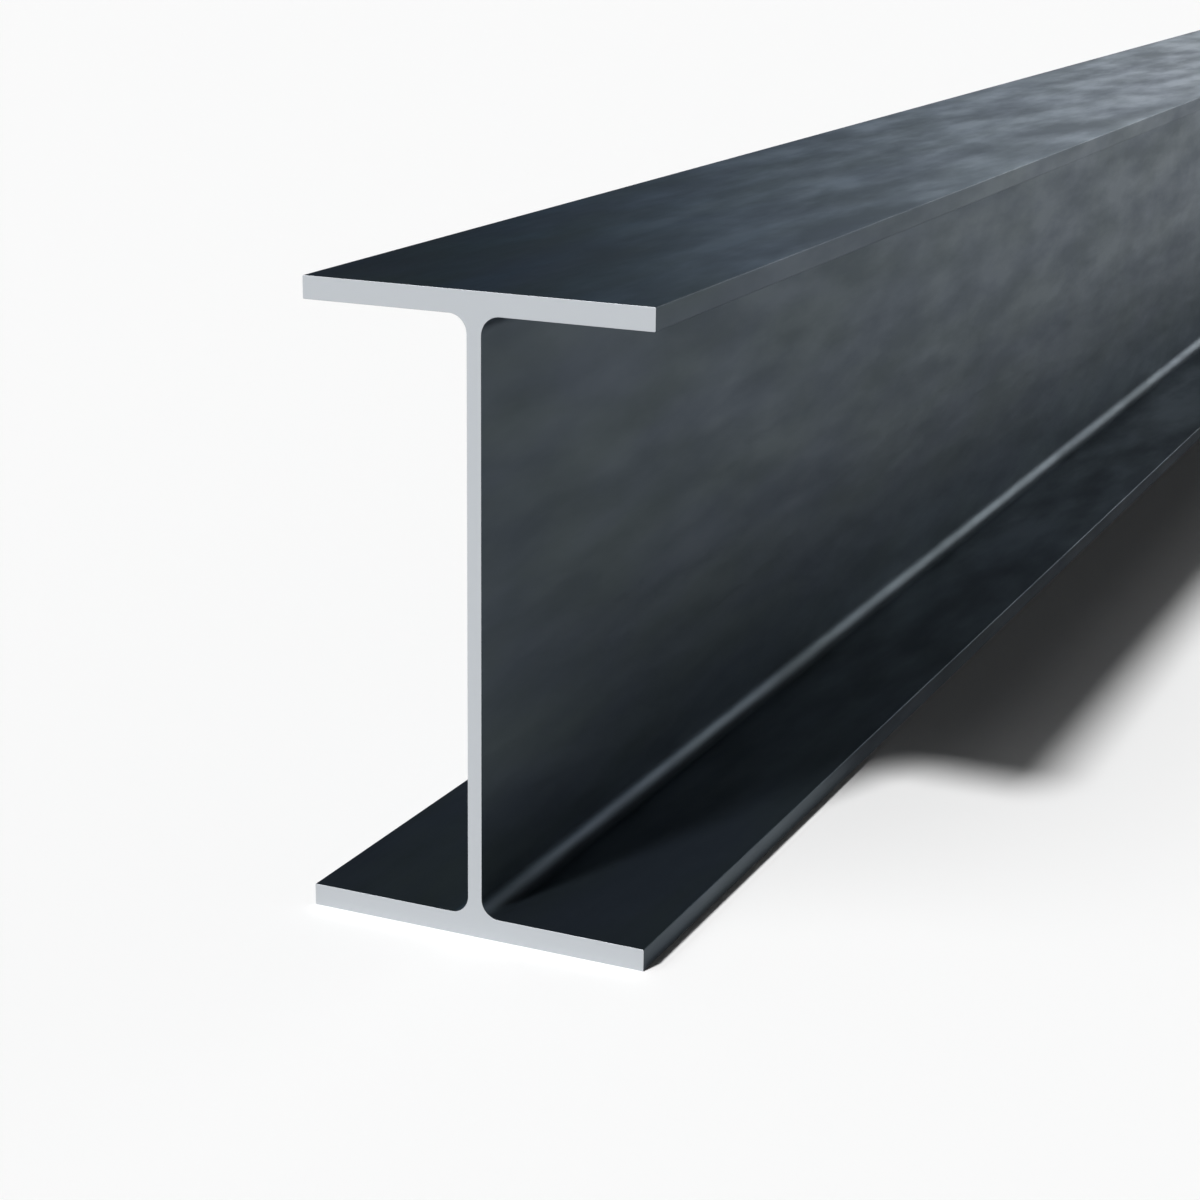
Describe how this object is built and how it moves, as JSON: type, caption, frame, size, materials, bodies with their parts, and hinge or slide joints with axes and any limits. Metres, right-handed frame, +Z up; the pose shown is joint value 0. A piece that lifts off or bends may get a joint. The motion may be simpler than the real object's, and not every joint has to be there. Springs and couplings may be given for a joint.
{
  "type": "steel i-beam",
  "caption": "Hot-rolled wide-flange steel I-beam stock length with parallel flanges, filleted web roots, mill-scale faces and square sawn ends.",
  "frame": {"origin": "middle of the beam's length and width, on the plane that the bottom flange rests on", "axes": "+Y along the beam's length, +X across the flanges' width, +Z up through the web's depth; the end that the picture shows faces -Y"},
  "size_m": [0.146, 6.096, 0.258],
  "materials": {
    "rolled_steel": "satin"
  },
  "bodies": {
    "root": {"i_beam": "rolled_steel"}
  },
  "joints": []
}
